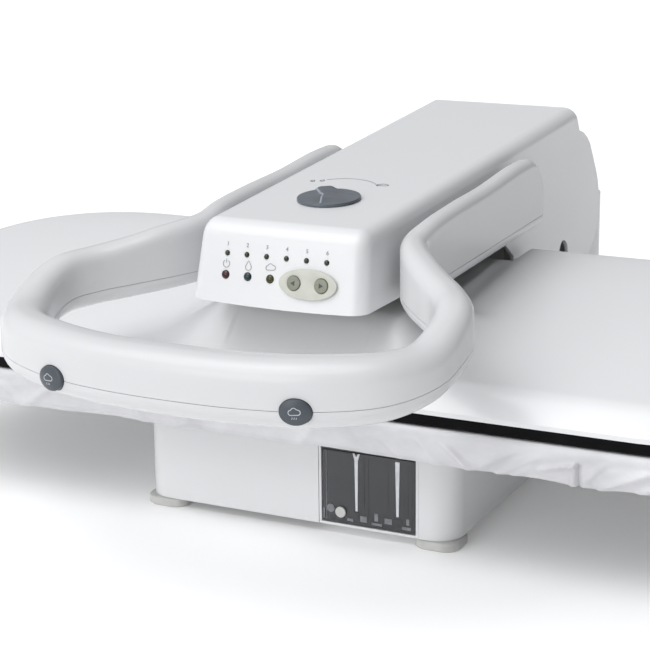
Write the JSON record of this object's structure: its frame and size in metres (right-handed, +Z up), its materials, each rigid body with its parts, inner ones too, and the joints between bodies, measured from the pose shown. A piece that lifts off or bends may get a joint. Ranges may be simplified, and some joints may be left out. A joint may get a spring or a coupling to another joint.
{
  "type": "steam ironing press",
  "caption": "Steam ironing press: a padded board on a compact base under a wide heated platen, which a loop handle lifts with its control head about a shaft at the back.",
  "frame": {"origin": "on the ground, under the middle of the whole press's bounding box", "axes": "+X to the right along the board, seen from the handle; +Y to the back, from the handle to the hinge column; +Z up"},
  "size_m": [0.7066, 0.586, 0.2241],
  "materials": {
    "white_abs": "glossy white moulded ABS",
    "grey_abs": "pale grey moulded ABS, satin",
    "slate_abs": "slate grey moulded ABS",
    "black_nylon": "satin black nylon",
    "smoke_tank": "clear smoke polycarbonate",
    "silver_cloth": "silvery grey coated cotton",
    "felt": "cream polyester felt",
    "steel": "zinc plated steel",
    "spring_steel": "oiled spring steel",
    "aluminium": "cast aluminium",
    "bronze": "sintered bronze and brass",
    "circuit": "green glass fibre circuit board",
    "component": "black moulded component",
    "silicone": "white silicone rubber",
    "foot_rubber": "pale grey rubber",
    "lamp": "dark olive lamp lens, unlit",
    "red_lamp": "dark red lamp lens, unlit",
    "teal_lamp": "dark teal lamp lens, unlit",
    "olive_lamp": "dark yellow lamp lens, unlit",
    "pad_grey": "warm grey satin plastic",
    "key_grey": "olive grey rubber"
  },
  "bodies": {
    "base": {"base_housing": "white_abs", "base_tray": "steel", "foot_front_left": "foot_rubber", "foot_front_right": "foot_rubber", "foot_rear_left": "foot_rubber", "foot_rear_right": "foot_rubber", "column_cover": "white_abs", "hinge_bracket": "steel", "hinge_shaft": "steel", "hinge_spring": "spring_steel", "column_screw_left": "steel", "column_screw_right": "steel", "cord_gland": "black_nylon", "power_board": "circuit", "transformer": "component", "water_pump": "component", "tank_valve_seat": "silicone", "pump_hose": "silicone", "tank_bay": "grey_abs", "board_pan": "steel", "board_foam_pad": "felt", "board_cover": "silver_cloth"},
    "tank": {"water_tank": "smoke_tank", "tank_lid": "smoke_tank", "tank_cap": "slate_abs", "tank_valve": "black_nylon", "tank_drain_plug": "grey_abs"},
    "head": {"platen_cover": "white_abs", "platen_skirt": "black_nylon", "soleplate": "aluminium", "heating_element": "steel", "steam_generator": "aluminium", "thermostat": "steel", "platen_neck": "aluminium", "head_cover": "white_abs", "head_bottom_cover": "grey_abs", "temperature_lenses": "lamp", "power_lamp": "red_lamp", "water_lamp": "teal_lamp", "steam_lamp": "olive_lamp", "control_board": "circuit", "set_pad": "pad_grey", "dial_potentiometer": "component", "head_arm_frame": "steel", "hinge_bush_left": "bronze", "hinge_bush_right": "bronze", "steam_valve": "bronze", "head_hose": "silicone"},
    "set_key_left": {"set_button_left": "key_grey"},
    "set_key_right": {"set_button_right": "key_grey"},
    "dial": {"steam_dial": "slate_abs"},
    "handle": {"handle_upper_shell": "white_abs", "handle_lower_shell": "white_abs", "handle_core_bar": "steel", "handle_shaft": "steel", "pressure_cam": "steel", "steam_switch_left": "component", "steam_switch_right": "component"},
    "steam_key_left": {"steam_button_left": "slate_abs"},
    "steam_key_right": {"steam_button_right": "slate_abs"}
  },
  "joints": [
    {"name": "head_open", "type": "hinge", "parent": "base", "child": "head", "pos_m": [0, 0.226, 0.15], "axis": [-1, 0, 0], "range_deg": [0, 40]},
    {"name": "handle_lift", "type": "hinge", "parent": "head", "child": "handle", "pos_m": [0, 0.073, 0.185], "axis": [-1, 0, 0], "range_deg": [0, 15]},
    {"name": "tank_slide", "type": "slide", "parent": "base", "child": "tank", "axis": [0, -1, 0], "range_m": [0, 0.118]},
    {"name": "set_press_left", "type": "slide", "parent": "head", "child": "set_key_left", "axis": [0, 0.9751, -0.2215], "range_m": [0, 0.0008], "stiffness_N_per_m": 900},
    {"name": "set_press_right", "type": "slide", "parent": "head", "child": "set_key_right", "axis": [0, 0.9751, -0.2215], "range_m": [0, 0.0008], "stiffness_N_per_m": 900},
    {"name": "dial_turn", "type": "hinge", "parent": "head", "child": "dial", "pos_m": [0, -0.0795, 0.20573], "axis": [0, -0.0602, 0.9982], "range_deg": [-135, 135]},
    {"name": "steam_press_left", "type": "slide", "parent": "handle", "child": "steam_key_left", "axis": [0.2426, 0.9701, 0], "range_m": [0, 0.0025], "stiffness_N_per_m": 400},
    {"name": "steam_press_right", "type": "slide", "parent": "handle", "child": "steam_key_right", "axis": [-0.2426, 0.9701, 0], "range_m": [0, 0.0025], "stiffness_N_per_m": 400}
  ]
}
